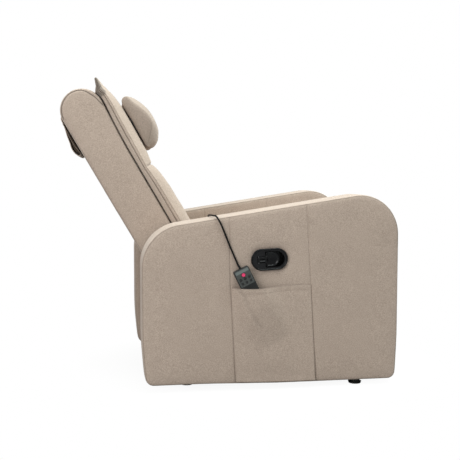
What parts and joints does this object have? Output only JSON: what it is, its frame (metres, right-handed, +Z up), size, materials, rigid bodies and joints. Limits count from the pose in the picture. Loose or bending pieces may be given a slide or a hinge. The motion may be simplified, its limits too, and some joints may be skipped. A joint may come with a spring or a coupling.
{
  "type": "massage recliner armchair",
  "caption": "Upholstered massage recliner with padded arms, a leaning pillow-top back, a head pillow, a linkage footrest, vibration motors and a corded remote in a side pocket.",
  "frame": {"origin": "on the floor, at the middle of the arms' length and of the chair's width", "axes": "+X the way the sitter faces, +Y to the sitter's left, +Z up"},
  "size_m": [1.0955, 0.826, 1.0072],
  "materials": {
    "fabric": "soft pile",
    "fabric_light": "soft pile",
    "steel": "satin black paint",
    "zinc": "zinc plated",
    "spring_steel": "drawn wire",
    "black_gloss": "gloss",
    "black_matte": "matte",
    "timber": "planed",
    "cord": "matte",
    "cover_cloth": "woven",
    "red_plastic": "gloss",
    "key_grey": "matte",
    "window_grey": "satin",
    "motor_steel": "satin"
  },
  "bodies": {
    "base": {"base_frame": "steel", "feet": "black_matte", "base_bolts": "zinc", "side_plates": "steel", "base_pins": "zinc", "arm_frame_right": "timber", "arm_frame_left": "timber", "arm_cover_right": "fabric", "arm_cover_left": "fabric", "side_pocket": "fabric", "handle_bezel": "black_gloss", "handle_pin": "zinc", "release_cable": "black_matte", "seat_frame": "timber", "seat_springs": "spring_steel", "seat_cushion": "fabric", "seat_motors": "motor_steel", "control_box": "black_matte", "power_inlet": "black_matte", "remote_cord": "cord", "rear_panel": "fabric", "dust_cover": "cover_cloth", "pawl_spring": "spring_steel"},
    "back": {"back_frame": "timber", "back_springs": "spring_steel", "back_box": "fabric", "back_pad": "fabric_light", "back_brackets": "steel", "back_motors": "motor_steel", "pillow_strap": "fabric", "strap_buckle": "black_matte"},
    "head_pillow": {"head_pillow": "fabric_light"},
    "main_links": {"main_links": "steel", "main_link_pins": "zinc", "torque_tube": "steel"},
    "outer_links": {"outer_links": "steel", "outer_link_pins": "zinc"},
    "footrest": {"footrest_brackets": "steel", "footrest_board": "timber", "footrest_pad": "fabric"},
    "rear_links": {"rear_links": "steel"},
    "drive_links": {"drive_links": "steel"},
    "pull_handle": {"pull_handle": "black_gloss"},
    "release_pawl": {"release_pawl": "steel"},
    "remote": {"remote_case": "black_matte", "remote_window": "window_grey"},
    "power_button": {"power_button": "red_plastic"},
    "mode_key": {"mode_key": "key_grey"},
    "level_key": {"level_key": "key_grey"},
    "heat_key": {"heat_key": "key_grey"},
    "back_key": {"back_key": "key_grey"},
    "lumbar_key": {"lumbar_key": "key_grey"},
    "thigh_key": {"thigh_key": "key_grey"},
    "seat_weight_left": {"seat_weight_left": "motor_steel"},
    "seat_weight_right": {"seat_weight_right": "motor_steel"},
    "shoulder_weight_left": {"shoulder_weight_left": "motor_steel"},
    "shoulder_weight_right": {"shoulder_weight_right": "motor_steel"},
    "lumbar_weight_left": {"lumbar_weight_left": "motor_steel"},
    "lumbar_weight_right": {"lumbar_weight_right": "motor_steel"}
  },
  "joints": [
    {"name": "back_recline", "type": "hinge", "parent": "base", "child": "back", "pos_m": [-0.25, 0, 0.29178], "axis": [0, -1, 0], "range_deg": [0, 30]},
    {"name": "head_pillow_slide", "type": "slide", "parent": "back", "child": "head_pillow", "axis": [-0.5, 0, 0.866], "range_m": [-0.08, 0]},
    {"name": "footrest_lift", "type": "hinge", "parent": "base", "child": "main_links", "pos_m": [0.19, 0, 0.29], "axis": [0, -1, 0], "range_deg": [0, 87.9]},
    {"name": "outer_link_fold", "type": "hinge", "parent": "main_links", "child": "outer_links", "pos_m": [0.18915, 0, 0.07], "axis": [0, -1, 0], "range_deg": [-105.2, 0]},
    {"name": "footrest_tilt", "type": "hinge", "parent": "outer_links", "child": "footrest", "pos_m": [0.33801, 0, 0.232], "axis": [0, -1, 0], "range_deg": [0, 103.2]},
    {"name": "rear_link_swing", "type": "hinge", "parent": "base", "child": "rear_links", "pos_m": [0.1405, 0, 0.2765], "axis": [0, -1, 0], "range_deg": [0, 86.4]},
    {"name": "drive_link_swing", "type": "hinge", "parent": "main_links", "child": "drive_links", "pos_m": [0.17501, 0, 0.03126], "axis": [0, -1, 0], "range_deg": [-105.3, 0]},
    {"name": "handle_pull", "type": "hinge", "parent": "base", "child": "pull_handle", "pos_m": [-0.04896, -0.4005, 0.41969], "axis": [0.0489, 0, -0.9988], "range_deg": [0, 35]},
    {"name": "pawl_release", "type": "hinge", "parent": "base", "child": "release_pawl", "pos_m": [0.155, -0.223, 0.245], "axis": [0, -1, 0], "range_deg": [0, 8.1]},
    {"name": "remote_lift", "type": "slide", "parent": "base", "child": "remote", "axis": [-0.4384, 0, 0.8988], "range_m": [0, 0.12]},
    {"name": "power_button_press", "type": "slide", "parent": "remote", "child": "power_button", "axis": [0, 1, 0], "range_m": [0, 0.001]},
    {"name": "mode_key_press", "type": "slide", "parent": "remote", "child": "mode_key", "axis": [0, 1, 0], "range_m": [0, 0.001]},
    {"name": "level_key_press", "type": "slide", "parent": "remote", "child": "level_key", "axis": [0, 1, 0], "range_m": [0, 0.001]},
    {"name": "heat_key_press", "type": "slide", "parent": "remote", "child": "heat_key", "axis": [0, 1, 0], "range_m": [0, 0.001]},
    {"name": "back_key_press", "type": "slide", "parent": "remote", "child": "back_key", "axis": [0, 1, 0], "range_m": [0, 0.001]},
    {"name": "lumbar_key_press", "type": "slide", "parent": "remote", "child": "lumbar_key", "axis": [0, 1, 0], "range_m": [0, 0.001]},
    {"name": "thigh_key_press", "type": "slide", "parent": "remote", "child": "thigh_key", "axis": [0, 1, 0], "range_m": [0, 0.001]},
    {"name": "seat_weight_left_spin", "type": "hinge", "parent": "base", "child": "seat_weight_left", "pos_m": [0.02, 0.1, 0.329], "axis": [0, 1, 0], "continuous": true},
    {"name": "seat_weight_right_spin", "type": "hinge", "parent": "base", "child": "seat_weight_right", "pos_m": [0.02, -0.1, 0.329], "axis": [0, 1, 0], "continuous": true},
    {"name": "shoulder_weight_left_spin", "type": "hinge", "parent": "back", "child": "shoulder_weight_left", "pos_m": [-0.49209, 0.095, 0.7871], "axis": [0, 1, 0], "continuous": true},
    {"name": "shoulder_weight_right_spin", "type": "hinge", "parent": "back", "child": "shoulder_weight_right", "pos_m": [-0.49209, -0.095, 0.7871], "axis": [0, 1, 0], "continuous": true},
    {"name": "lumbar_weight_left_spin", "type": "hinge", "parent": "back", "child": "lumbar_weight_left", "pos_m": [-0.35209, 0.095, 0.54461], "axis": [0, 1, 0], "continuous": true},
    {"name": "lumbar_weight_right_spin", "type": "hinge", "parent": "back", "child": "lumbar_weight_right", "pos_m": [-0.35209, -0.095, 0.54461], "axis": [0, 1, 0], "continuous": true}
  ],
  "couplings": [
    {"joint": "outer_link_fold", "follows": "footrest_lift", "ratio": -1.1958},
    {"joint": "footrest_tilt", "follows": "footrest_lift", "ratio": 1.1733},
    {"joint": "rear_link_swing", "follows": "footrest_lift", "ratio": 0.9817},
    {"joint": "drive_link_swing", "follows": "footrest_lift", "ratio": -1.1969},
    {"joint": "pawl_release", "follows": "handle_pull", "ratio": 0.2286}
  ]
}
